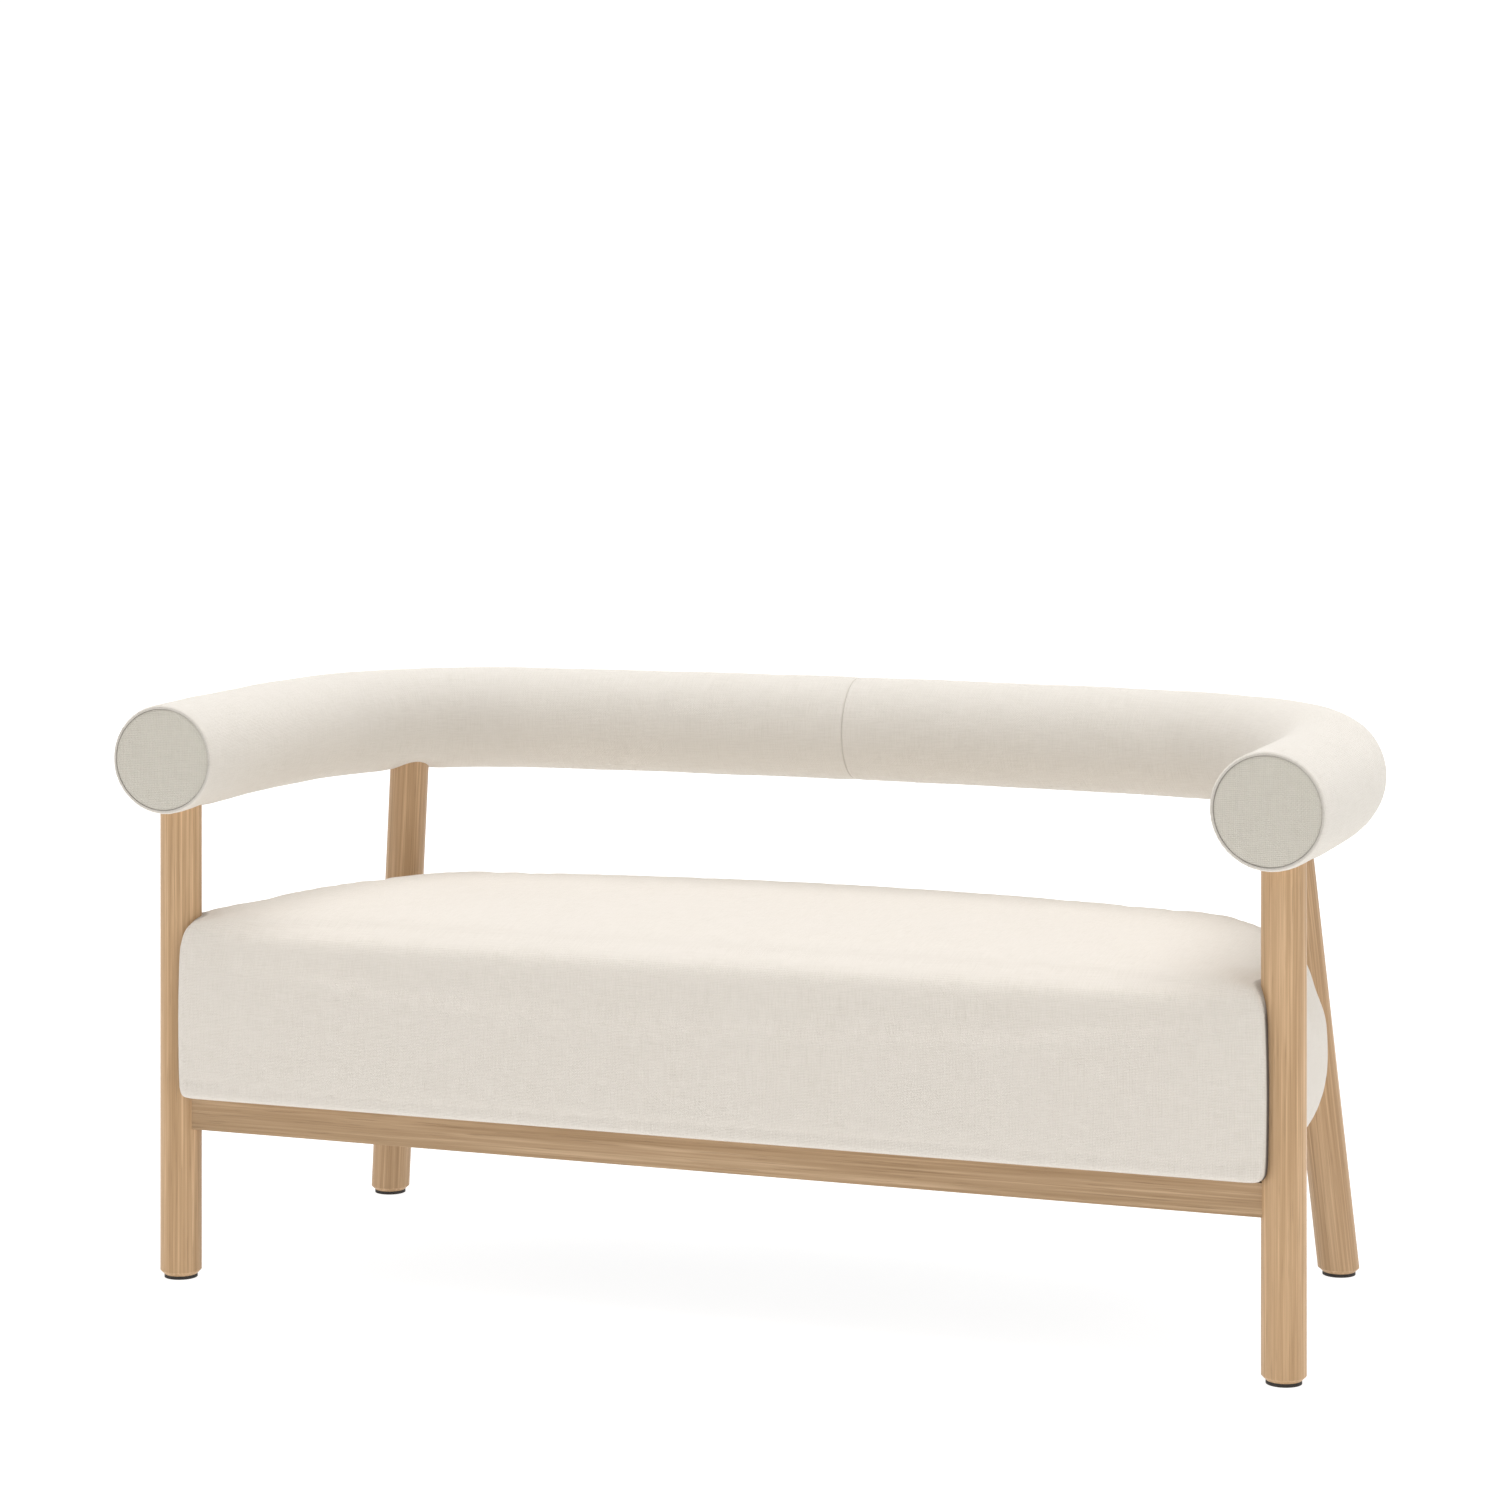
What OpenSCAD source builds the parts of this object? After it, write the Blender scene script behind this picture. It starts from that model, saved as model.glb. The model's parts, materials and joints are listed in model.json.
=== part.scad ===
// Two-seat bench sofa. A round upholstered bolster, bent into a U, makes the arms and
// the back. It stands on four round wooden legs, the rear two splayed, above a thick
// D-shaped upholstered seat that rests on a straight wooden front rail.
// Millimetres, +Z up, the front faces -Y and the viewer's right is +X. The origin is on
// the floor under the centre of the sofa.

/* [Overall] */
// Depth from the arm ends to the back of the bolster
depth = 679; // [670:1:690]

/* [Bolster] */
// Outer diameter of the bolster
bolster_d = 131; // [127:1:134]
// Height of the bolster's centre line
bolster_axis_z = 633; // [620:1:650]
// Plan radius of the gently bowed back
back_r = 3600; // [3300:10:4000]
// Half of the back's arc, in degrees
back_arc = 7.1; // [6.8:0.1:7.4]
// Plan radius of the two corners
corner_r = 250; // [240:1:260]
// Arc of each corner, in degrees
corner_arc = 70.5; // [70:0.1:71]
// Plan radius where the corner runs out into the arm
arm_r = 860; // [820:1:900]
// Arc of that run-out, in degrees
arm_arc = 12.4; // [12:0.1:12.8]
// Plan radius of the nearly straight stretch that ends the arm
tail_r = 6000; // [4500:100:9000]
// How far the padded arm ends bulge
end_dome = 4.5; // [3:0.5:6]
// Width of the wooden core inside the bolster
core_w = 70; // [66:1:74]
// Height of the wooden core inside the bolster
core_h = 50; // [44:1:54]
// Thickness of the board that closes each arm end
end_board_t = 9; // [6:1:12]

/* [Legs] */
// Diameter of the round legs
leg_d = 50; // [46:1:52]
// Distance between the axes of the front legs
leg_spacing = 1360; // [1354:1:1364]
// How far the front legs' axes stand behind the arm ends
leg_setback = 62.5; // [60:0.5:65]
// Half the distance between the rear legs' feet
rear_foot_x = 636; // [630:1:640]
// How far the rear feet stand behind the sofa's centre
rear_foot_y = 220; // [214:1:226]
// Half the distance between the rear legs' tops
rear_top_x = 580.5; // [578:0.5:590]
// How far the rear legs' tops stand behind the sofa's centre
rear_top_y = 165; // [163:0.5:172]
// Bevel round the foot of each leg
foot_bevel = 5; // [3:0.5:7]
// Diameter of the glide pads
glide_d = 40; // [34:1:40]
// Thickness of the glide pads
glide_t = 4; // [3:0.5:6]

/* [Front rail] */
// Height of the rail's underside above the floor
rail_z = 182; // [174:1:188]
// Thickness of the rail from front to back
rail_t = 26; // [22:1:30]
// Diameter of the round tenons at its ends
tenon_d = 20; // [16:1:22]
// Depth of the tenons in the legs
tenon_l = 22; // [15:1:24]

/* [Seat] */
// Height of the seat's underside
seat_z = 221; // [216:1:226]
// Height of the seat's rim above its underside
seat_h = 213; // [205:1:218]
// How much the middle of the seat stands above its rim
crown = 12; // [6:1:16]
// How far the seat's front face stands in front of the front legs' axes
seat_overhang = 38; // [36:1:40]
// How far the seat's back edge stands behind the sofa's centre
seat_back_y = 290; // [284:1:292]
// Plan radius of the seat's back edge
seat_back_r = 1950; // [1900:10:2000]
// Half of the back edge's arc, in degrees
seat_back_arc = 13.9; // [13.7:0.1:14.1]
// Plan radius of the seat's rear corners
seat_corner_r = 220; // [215:1:225]
// Arc of each rear corner, in degrees
seat_corner_arc = 39.6; // [39:0.1:40]
// Plan radius of the seat's sides
seat_side_r = 513; // [505:1:520]
// Half the width of the seat's front face
seat_front_x = 664.5; // [662:0.5:667]
// Radius of the upright front corners
seat_front_r = 13; // [11:1:15]
// Radius of the soft top edge
top_roll = 34; // [28:1:40]
// Radius of the bottom edge along the front
bottom_roll = 14; // [10:1:16]
// Radius of the softer bottom edge along the sides and the back
side_roll = 72; // [66:1:74]
// Thickness of the covering fabric
cover_t = 1.5; // [1:0.5:2]
// Thickness of the padding over the foam and in front of the frame
padding_t = 14; // [13:1:16]
// Thickness of the padding between the cover and the frame's side and back boards
side_padding = 52; // [50:1:54]

/* [Seat frame] */
// Thickness of the frame boards
board_t = 28; // [26:1:30]
// Height of the frame boards
board_h = 80; // [74:1:84]
// Width of the centre bearer
bearer_w = 30; // [24:1:40]
// Height of the centre bearer
bearer_h = 55; // [45:1:60]
// Reach of the front corner blocks from the leg axis
block_reach = 125; // [120:1:130]
// Width of the webbing straps
strap_w = 50; // [40:1:60]
// Thickness of the webbing straps
strap_t = 1.6; // [1:0.2:2]

/* [Hidden] */
$fn = 64;

OAK = "#c9a678";
BEECH = "#d8b98f";
PLYWOOD = "#cdb088";
FABRIC = "#e6e2d9";
FOAM = "#efe2a8";
WADDING = "#f4f4f2";
BLACK_CLOTH = "#2a2a2c";
PAD = "#2c2926";
STEEL = "#a9adb0";
BRASS = "#c2a24f";
ELASTIC = "#8c7f6d";

gap = 0.3;      // clearance between soft pieces and what they lie on
reach = 2000;   // longer than anything that is cut
leg_r = leg_d / 2;
bolster_r = bolster_d / 2;
front_y = -depth / 2;
leg_x = leg_spacing / 2;
leg_y = front_y + leg_setback;
core_z = bolster_axis_z - core_h / 2;

// ---- plan curves: headings are degrees clockwise from +X, and dir() points outwards ----
function dir(heading) = [sin(heading), cos(heading)];
function next_centre(centre, radius, new_radius, heading) = centre + (radius - new_radius) * dir(heading);

// the bolster's centre line, right half
corner_end = back_arc + corner_arc;
arm_end = corner_end + arm_arc;
back_c = [0, depth / 2 - bolster_r - back_r];
corner_c = next_centre(back_c, back_r, corner_r, back_arc);
arm_c = next_centre(corner_c, corner_r, arm_r, corner_end);
tail_c = next_centre(arm_c, arm_r, tail_r, arm_end);
tail_end = acos((front_y + end_dome - tail_c[1]) / tail_r);
function tail_heading(short) = tail_end - short / tail_r * 180 / PI;

// the seat's outer edge, right half
seat_front_y = leg_y - seat_overhang;
seat_rim_z = seat_z + seat_h;
seat_corner_end = seat_back_arc + seat_corner_arc;
seat_back_c = [0, seat_back_y - seat_back_r];
seat_corner_c = next_centre(seat_back_c, seat_back_r, seat_corner_r, seat_back_arc);
seat_side_c = next_centre(seat_corner_c, seat_corner_r, seat_side_r, seat_corner_end);
seat_side_end = acos((leg_y + 10 - seat_side_c[1]) / seat_side_r);
function front_r(inset) = max(seat_front_r - inset, 1);

// points on an arc whose [inset, height] changes smoothly from a to b, without its last one
function edge_arc(centre, radius, from, to, steps, a, b) =
  [for (i = [0 : steps - 1]) let (t = i / steps, e = a + (b - a) * t * t * (3 - 2 * t))
    concat(centre + (radius - e[0]) * dir(from + (to - from) * t), [e[1]])];

// right half of an edge of the seat, from [inset, height] along the back and side and along the front
function half_edge(side, front) =
  let (r = front_r(front[0]), c = [seat_front_x - front[0] - r, seat_front_y + front[0] + r])
  concat(
    edge_arc(seat_back_c, seat_back_r, 0, seat_back_arc, 6, side, side),
    edge_arc(seat_corner_c, seat_corner_r, seat_back_arc, seat_corner_end, 7, side, side),
    edge_arc(seat_side_c, seat_side_r, seat_corner_end, seat_side_end, 10, side, front),
    [[seat_front_x - front[0], leg_y - 10, front[1]]],
    edge_arc(c, r, 90, 180, 4, [0, front[1]], [0, front[1]]),
    [[c[0], c[1] - r, front[1]]],
    [[0, c[1] - r, front[1]]]
  );
function edge(side, front, k = 1) = let (half = half_edge(side, front)) concat(
  [for (p = half) [p[0] * k, p[1] * k, p[2]]],
  [for (i = [len(half) - 2 : -1 : 1]) [-half[i][0] * k, half[i][1] * k, half[i][2]]]
);
function level_edge(inset, z, k = 1) = edge([inset, z], [inset, z], k);
function outline(side, front) = [for (p = edge([side, 0], [front, 0])) [p[0], p[1]]];

// heights inside the seat
dust_t = 1;
frame_z = seat_z + cover_t + gap;
frame_top = frame_z + board_h;
front_inset = padding_t + board_t;
side_inset = side_padding + board_t;
side_lift = 6;  // the side and back boards stand this much higher, over the soft bottom edge
foam_z = frame_top + 2 * strap_t + gap;
block_low = 18;
block_h = 54;
block_half_w = 45;
bolt_z = frame_z + block_low + block_h / 2;

// seat to leg bolts: lengths run inwards from a leg's axis
leg_clearance = leg_r + 1;
board_clearance = leg_clearance + cover_t + gap;
bolt_d = 8;
bolt_head_d = 15;
bolt_head_h = 5.5;
washer_d = 20;
washer_t = 1.6;
insert_d = 12;
insert_l = 20;
spacer_d = 26;
rear_slope = (bolt_z - glide_t) / (core_z - glide_t);
rear_bolt_x = rear_foot_x + (rear_top_x - rear_foot_x) * rear_slope;
rear_bolt_y = rear_foot_y + (rear_top_y - rear_foot_y) * rear_slope;
rear_run = norm([rear_bolt_x, rear_bolt_y] - seat_corner_c);
rear_bolt_turn = atan2(seat_corner_c[1] - rear_bolt_y, seat_corner_c[0] - rear_bolt_x);
rear_block_r = 112;
rear_reach = rear_run - rear_block_r;
front_bolt_turn = 160;

// screws
screw_d = 4.5;
screw_head_d = 9;
screw_head_h = 2.5;
block_screw_l = 60;
end_screw_l = 45;
bearer_screw_l = 60;
rail_screw_l = 50;
rail_sink = 12;
rail_screw_x = [120, 360, 580];
rail_h = seat_z - dust_t - rail_z;

glide_screw_l = 24;
glide_sink = 1;

// blocks, webbing, inserts and dowels
webbing_margin = 6;  // the straps stop this far inside the boards' outer faces
cross_pitch = 130;
long_pitch = 140;
insert_back = 1;   // the inserts sit this far under the legs' surface
core_tilt = 4;     // the slanted cut at the rear legs' tops takes this much of an insert's depth
dowel_d = 10;
dowel_l = 40;
head_sink = 10;    // the core bolts' heads lie this deep in the core
head_hole_d = 22;

// the closed arm ends
foam_r = bolster_r - cover_t - gap;
end_r = bolster_r - 5;
end_board_r = 54;
screw_side = 14;
pad_rim = 0.8;     // the pad's thickness at its edge
pad_h = end_dome - cover_t - pad_rim;
dome_r = (end_r * end_r + pad_h * pad_h) / (2 * pad_h);

// ---- helpers ----
module both_sides() {
  children();
  mirror([1, 0, 0]) children();
}

// sweeps a profile (x outwards from the line, y up) along a plan arc
module swept(centre, radius, from, to) {
  translate([centre[0], centre[1], 0])
    rotate([0, 0, 90 - to])
      rotate_extrude(angle = to - from, $fn = 180)
        translate([radius, 0]) children();
}

// stands at a point of a plan arc, +X along the line and +Y outwards
module at_heading(centre, radius, heading, z) {
  point = centre + radius * dir(heading);
  translate([point[0], point[1], z]) rotate([0, 0, -heading]) children();
}

// stands in the arm's end face, +Z out of it
module at_arm_end() {
  at_heading(tail_c, tail_r, tail_end, bolster_axis_z) rotate([0, 90, 0]) children();
}

module swept_arm(short) {
  swept(arm_c, arm_r, corner_end, arm_end) children();
  swept(tail_c, tail_r, arm_end, tail_heading(short)) children();
}

// stands on the rear leg's axis at its foot, +Z up the leg
module on_rear_leg() {
  rise = core_z - glide_t;
  lean = norm([rear_foot_x - rear_top_x, rear_foot_y - rear_top_y]);
  turn = atan2(rear_foot_y - rear_top_y, rear_foot_x - rear_top_x);
  translate([rear_foot_x, rear_foot_y, glide_t])
    rotate([0, 0, turn])
      rotate([0, -atan2(lean, rise), 0]) children();
}
rear_leg_l = norm([rear_foot_x - rear_top_x, rear_foot_y - rear_top_y, core_z - glide_t]);

module on_front_leg() {
  translate([leg_x, leg_y, glide_t]) children();
}

// +X runs inwards from the leg's axis, along the bolt to the seat frame
module on_front_bolt() {
  translate([leg_x, leg_y, bolt_z]) rotate([0, 0, front_bolt_turn]) children();
}

module on_rear_bolt() {
  translate([rear_bolt_x, rear_bolt_y, bolt_z]) rotate([0, 0, rear_bolt_turn]) children();
}

module rod_x(d, from, to) {
  translate([from, 0, 0]) rotate([0, 90, 0]) cylinder(d = d, h = to - from);
}

module front_leg_hole(r) {
  both_sides() translate([leg_x, leg_y, -1]) cylinder(r = r, h = reach);
}

// a countersunk wood screw, its head's face at the origin, pointing up
module wood_screw(l) {
  cylinder(h = screw_head_h, d1 = screw_head_d, d2 = screw_d);
  cylinder(h = l, d = screw_d);
}

module seat_prism(side, front, z, h) {
  translate([0, 0, z]) linear_extrude(h) polygon(outline(side, front));
}

// joins rings of equally many points, lowest first, into one closed form
module loft(rings) {
  n = len(rings[0]);
  top = (len(rings) - 1) * n;
  sides = [for (k = [0 : n : top - n], i = [0 : n - 1])
    [k + i, k + (i + 1) % n, k + n + (i + 1) % n, k + n + i]];
  lid = [for (i = [0 : n - 1]) top + i];
  base = [for (i = [n - 1 : -1 : 0]) i];
  polyhedron([for (r = rings) each r], concat([base, lid], sides));
}

// edges of the padded seat from its sides over the soft rim to the crown, shrunk by an inset
edge_steps = 4;
function upper_edges(inset) = let (r = top_roll - inset, rim = seat_rim_z - inset) concat(
  [for (i = [0 : edge_steps]) let (a = 90 * i / edge_steps)
    level_edge(inset + r * (1 - cos(a)), rim - r * (1 - sin(a)))],
  [for (k = [0.8, 0.5]) level_edge(top_roll, rim + crown * (1 - k * k), k)]
);

// edges of the padded seat from its flat underside up to its sides
function rolled(roll, inset, a) = let (r = max(roll - inset, 1))
  [inset + r * (1 - sin(a)), seat_z + inset + r * (1 - cos(a))];
function lower_edges(inset) =
  [for (i = [0 : edge_steps]) let (a = 90 * i / edge_steps)
    edge(rolled(side_roll, inset, a), rolled(bottom_roll, inset, a))];

// ---- wooden underframe ----
// the round end of the rail, from inside the front leg to a point this far from the leg's axis
module rail_tenon(end) {
  translate([leg_x, leg_y, rail_z + rail_h / 2])
    rotate([0, 0, 180])
      rod_x(tenon_d, leg_r - tenon_l, end);
}

module leg_foot_trim() {
  cylinder(h = foot_bevel, r1 = leg_r - foot_bevel, r2 = leg_r + 0.2);
  translate([-reach / 2, -reach / 2, foot_bevel]) cube([reach, reach, core_z - glide_t - foot_bevel]);
}

module front_leg() {
  color(OAK)
    difference() {
      on_front_leg() {
        cylinder(h = foot_bevel, r1 = leg_r - foot_bevel, r2 = leg_r);
        translate([0, 0, foot_bevel]) cylinder(h = core_z - glide_t - foot_bevel, r = leg_r);
      }
      on_front_leg() {
        cylinder(h = glide_screw_l - glide_t, d = screw_d);
        translate([0, 0, core_z - glide_t - insert_l]) cylinder(h = insert_l + 1, d = insert_d);
      }
      on_front_bolt() rod_x(insert_d, leg_r - insert_l, leg_r + 1);
      rail_tenon(leg_r + 1);
    }
}

module rear_leg() {
  color(OAK)
    difference() {
      intersection() {
        on_rear_leg() translate([0, 0, -leg_r]) cylinder(h = rear_leg_l + 2 * leg_r, r = leg_r);
        translate([rear_foot_x, rear_foot_y, glide_t]) leg_foot_trim();
      }
      translate([rear_foot_x, rear_foot_y, glide_t - 1])
        cylinder(h = glide_screw_l - glide_t + 1, d = screw_d);
      on_rear_leg() translate([0, 0, rear_leg_l - insert_l - core_tilt]) cylinder(h = reach, d = insert_d);
      on_rear_bolt() rod_x(insert_d, leg_r - insert_l, leg_r + 4);
    }
}
module front_rail() {
  color(OAK)
    difference() {
      union() {
        difference() {
          translate([-leg_x, leg_y - rail_t / 2, rail_z]) cube([leg_spacing, rail_t, rail_h]);
          front_leg_hole(leg_r);
        }
        both_sides() rail_tenon(leg_r + 5);
      }
      rail_screws_at() {
        translate([0, 0, -rail_sink - 1]) cylinder(h = rail_sink + 1, d = screw_head_d + 1);
        wood_screw(rail_screw_l);
      }
    }
}

// ---- glides ----
module glide() {
  color(PAD)
    difference() {
      cylinder(h = glide_t, d = glide_d);
      translate([0, 0, glide_sink]) wood_screw(glide_screw_l);
      translate([0, 0, -1]) cylinder(h = glide_sink + 1, d = screw_head_d);
    }
}

module at_front_foot() {
  translate([leg_x, leg_y, 0]) children();
}

module at_rear_foot() {
  translate([rear_foot_x, rear_foot_y, 0]) children();
}

module glide_screws() {
  color(STEEL)
    both_sides() {
      at_front_foot() translate([0, 0, glide_sink]) wood_screw(glide_screw_l - glide_sink);
      at_rear_foot() translate([0, 0, glide_sink]) wood_screw(glide_screw_l - glide_sink);
    }
}

// ---- seat frame ----
module board_profile() {
  translate([-side_inset, frame_z + side_lift]) square([board_t, board_h - side_lift]);
}

module seat_front_board() {
  board_l = 2 * (seat_front_x - padding_t);
  color(BEECH)
    difference() {
      translate([-board_l / 2, seat_front_y + padding_t, frame_z]) cube([board_l, board_t, board_h]);
      corner_block_screws();
      bearer_screws();
      rail_screws();
    }
}

module side_sweep() {
  swept(seat_side_c, seat_side_r, seat_corner_end, seat_side_end) board_profile();
}

module seat_side_board() {
  color(BEECH)
    difference() {
      side_sweep();
      translate([0, seat_front_y + front_inset - reach, 0]) cube([reach, reach, reach]);
      on_front_bolt() rod_x(bolt_d, 0, block_reach);
      corner_block_screws();
    }
}

module seat_rear_corner() {
  color(BEECH)
    difference() {
      swept(seat_corner_c, seat_corner_r, seat_back_arc, seat_corner_end) board_profile();
      on_rear_bolt() rod_x(bolt_d, 0, rear_reach);
      corner_block_screws();
    }
}

module seat_back_board() {
  color(BEECH)
    difference() {
      swept(seat_back_c, seat_back_r, -seat_back_arc, seat_back_arc) board_profile();
      bearer_screws();
    }
}

module seat_centre_bearer() {
  front = seat_front_y + front_inset;
  back = seat_back_y - side_inset;
  color(BEECH)
    difference() {
      translate([-bearer_w / 2, front, frame_z + side_lift]) cube([bearer_w, back - front, bearer_h]);
      bearer_screws();
    }
}

// the space that a corner block takes along its bolt
module block_space(from, to, margin = 0) {
  w = 2 * (block_half_w + margin);
  translate([from, -w / 2, -block_h / 2 - margin]) cube([to - from, w, block_h + 2 * margin]);
}

// a block on each side of the side board, between the leg and the bolt's head
module front_corner_block() {
  block_inset = 30;
  color(BEECH)
    difference() {
      intersection() {
        on_front_bolt() block_space(board_clearance, block_reach);
        seat_prism(block_inset, block_inset, 0, reach);
        translate([0, seat_front_y + front_inset, 0]) cube(reach);
      }
      side_sweep();
      front_leg_hole(board_clearance);
      on_front_bolt() rod_x(bolt_d, 0, block_reach + 1);
      corner_block_screws();
    }
}

module rear_corner_block() {
  thickness = board_t + 10;
  color(BEECH)
    difference() {
      on_rear_bolt() block_space(rear_reach - thickness, rear_reach);
      difference() {
        translate([seat_corner_c[0], seat_corner_c[1], 0]) cylinder(r = 2 * seat_corner_r, h = reach);
        translate([seat_corner_c[0], seat_corner_c[1], -1])
          cylinder(r = seat_corner_r - side_inset, h = reach + 2, $fn = 180);
      }
      on_rear_bolt() rod_x(bolt_d, 0, rear_reach + 1);
      corner_block_screws();
    }
}

module corner_block_screws() {
  side = 28;
  low = 15;
  color(STEEL)
    both_sides()
      for (s = [-1, 1]) {
        on_front_bolt() translate([block_reach, s * side, s * low])
          rotate([0, -90, 0]) wood_screw(block_screw_l);
        on_rear_bolt() translate([rear_reach, s * side, s * low])
          rotate([0, -90, 0]) wood_screw(block_screw_l);
      }
}

module bearer_screws() {
  color(STEEL)
    for (z = [21, 46]) {
      translate([0, seat_front_y + padding_t, frame_z + z]) rotate([-90, 0, 0]) wood_screw(bearer_screw_l);
      translate([0, seat_back_y - side_padding, frame_z + z]) rotate([90, 0, 0]) wood_screw(bearer_screw_l);
    }
}

module rail_screws_at() {
  screw_y = leg_y - 4;
  for (x = rail_screw_x)
    both_sides() translate([x, screw_y, rail_z + rail_sink]) children();
}

module rail_screws() {
  color(STEEL) rail_screws_at() wood_screw(rail_screw_l);
}

// ---- webbing, foam and covers of the seat ----
// how far the straps reach: to the back board at an x, to the side boards at a y
strap_inset = side_padding + webbing_margin;
function strap_y(x) = x < seat_corner_c[0]
  ? seat_back_c[1] + sqrt(pow(seat_back_r - strap_inset, 2) - x * x)
  : seat_corner_c[1] + sqrt(pow(seat_corner_r - strap_inset, 2) - pow(x - seat_corner_c[0], 2));
function strap_x(y) = seat_side_c[0] + sqrt(pow(seat_side_r - strap_inset, 2) - pow(y - seat_side_c[1], 2));

module cross_webbing() {
  front = seat_front_y + padding_t + webbing_margin;
  color(ELASTIC)
    for (i = [-4 : 4]) {
      x = i * cross_pitch;
      far = abs(x) + strap_w / 2;
      translate([x - strap_w / 2, front, frame_top]) cube([strap_w, strap_y(far) - front, strap_t]);
    }
}

module long_webbing() {
  color(ELASTIC)
    for (i = [-1 : 1]) {
      y = i * long_pitch - 70;
      far = max(abs(y - strap_w / 2 - seat_side_c[1]), abs(y + strap_w / 2 - seat_side_c[1]));
      x = strap_x(seat_side_c[1] + far);
      translate([-x, y - strap_w / 2, frame_top + strap_t]) cube([2 * x, strap_w, strap_t]);
    }
}

module seat_foam() {
  color(FOAM)
    difference() {
      loft(concat([level_edge(padding_t, foam_z)], upper_edges(padding_t)));
      front_leg_hole(board_clearance);
    }
}

// padding over the foam and thicker padding between the frame and the cover
module seat_wadding() {
  outer = cover_t + gap;
  inner = padding_t - gap;
  side = side_padding - gap;
  start = rolled(side_roll, outer, 20);
  color(WADDING)
    difference() {
      loft(concat(
        [edge(start, [outer + 5, start[1]])],
        [for (t = [1 / 3, 2 / 3, 1]) let (front_z = seat_z + bottom_roll + (side_roll - bottom_roll) * t)
          edge(rolled(side_roll, outer, 20 + 70 * t), [outer, front_z])],
        upper_edges(outer)
      ));
      loft(concat(
        [edge([side, seat_z], [inner, seat_z]), edge([side, foam_z - gap], [inner, foam_z - gap])],
        upper_edges(inner)
      ));
      front_leg_hole(board_clearance);
      both_sides() on_front_bolt() block_space(leg_clearance, block_reach, gap);
      both_sides() on_rear_bolt() rod_x(spacer_d + 2 * gap, 0, rear_run);
    }
}

module seat_cover() {
  side_hem = 92;
  front_hem = 45;
  color(FABRIC)
    difference() {
      loft(concat(lower_edges(0), upper_edges(0)));
      front_leg_hole(leg_clearance);
      difference() {
        loft(concat(
          [for (z = [seat_z - 1, seat_z + cover_t]) edge([side_hem, z], [front_hem, z])],
          lower_edges(cover_t),
          upper_edges(cover_t)
        ));
        front_leg_hole(leg_clearance + cover_t);
      }
      both_sides() on_rear_bolt() rod_x(spacer_d + gap, 0, rear_run);
      both_sides() on_front_bolt() rod_x(bolt_d, 0, board_clearance + 2);
    }
}

module dust_cover() {
  side_hem = 74;
  front_hem = 22;
  color(BLACK_CLOTH)
    difference() {
      seat_prism(side_hem, front_hem, seat_z - dust_t, dust_t);
      front_leg_hole(leg_clearance);
      rail_screws();
    }
}

// ---- bolts between the seat frame and the legs ----
module leg_bolt(l) {
  rod_x(bolt_d, leg_r - insert_l + 1, l + washer_t);
  translate([l + washer_t, 0, 0]) rotate([0, 90, 0]) cylinder(h = bolt_head_h, d = bolt_head_d, $fn = 6);
}

module leg_bolts() {
  color(STEEL)
    both_sides() {
      on_front_bolt() leg_bolt(block_reach);
      on_rear_bolt() leg_bolt(rear_reach);
    }
}

module ring_x(d, bore, from, to) {
  difference() {
    rod_x(d, from, to);
    rod_x(bore, from - 1, to + 1);
  }
}

module leg_bolt_washers() {
  color(STEEL)
    both_sides() {
      on_front_bolt() ring_x(washer_d, bolt_d, block_reach, block_reach + washer_t);
      on_rear_bolt() ring_x(washer_d, bolt_d, rear_reach, rear_reach + washer_t);
    }
}

module leg_inserts() {
  color(BRASS)
    both_sides() {
      on_front_bolt() ring_x(insert_d, bolt_d, leg_r - insert_l, leg_r - insert_back);
      on_rear_bolt() ring_x(insert_d, bolt_d, leg_r - insert_l, leg_r - insert_back);
    }
}

module rear_spacer() {
  board_face = rear_run - seat_corner_r + side_padding;
  color(OAK)
    difference() {
      on_rear_bolt() ring_x(spacer_d, bolt_d, leg_r - 8, board_face + 2);
      on_rear_leg() cylinder(h = rear_leg_l, r = leg_r);
      translate([seat_corner_c[0], seat_corner_c[1], 0])
        cylinder(r = seat_corner_r - side_padding, h = reach, $fn = 180);
    }
}

// ---- bolster core ----
module core_profile() {
  translate([-core_w / 2, core_z]) square([core_w, core_h]);
}

module core_back() {
  color(PLYWOOD)
    difference() {
      swept(back_c, back_r, -back_arc, back_arc) core_profile();
      core_dowels();
    }
}

module core_corner() {
  color(PLYWOOD)
    difference() {
      swept(corner_c, corner_r, back_arc, corner_end) core_profile();
      core_dowels();
      on_rear_leg() core_bolt_hole(rear_leg_l);
    }
}

module core_arm() {
  color(PLYWOOD)
    difference() {
      swept_arm(end_board_t) core_profile();
      core_dowels();
      on_front_leg() core_bolt_hole(core_z - glide_t);
      end_board_screws();
    }
}

module core_bolt_hole(leg_l) {
  translate([0, 0, leg_l - 1]) cylinder(h = core_h, d = bolt_d);
  translate([0, 0, leg_l + core_h - head_sink]) cylinder(h = core_h, d = head_hole_d);
}

module core_dowels() {
  color(BEECH)
    both_sides()
      for (z = [-12, 12]) {
        for (heading = [back_arc, corner_end])
          at_heading(corner_c, corner_r, heading, bolster_axis_z + z)
            rod_x(dowel_d, -dowel_l / 2, dowel_l / 2);
      }
}

module core_bolt(leg_l) {
  seat = leg_l + core_h - head_sink + washer_t;
  translate([0, 0, leg_l - insert_l + 2]) cylinder(h = seat - leg_l + insert_l - 2, d = bolt_d);
  translate([0, 0, seat]) cylinder(h = bolt_head_h, d = bolt_head_d, $fn = 6);
}

module core_bolts() {
  color(STEEL)
    both_sides() {
      on_front_leg() core_bolt(core_z - glide_t);
      on_rear_leg() core_bolt(rear_leg_l);
    }
}

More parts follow.
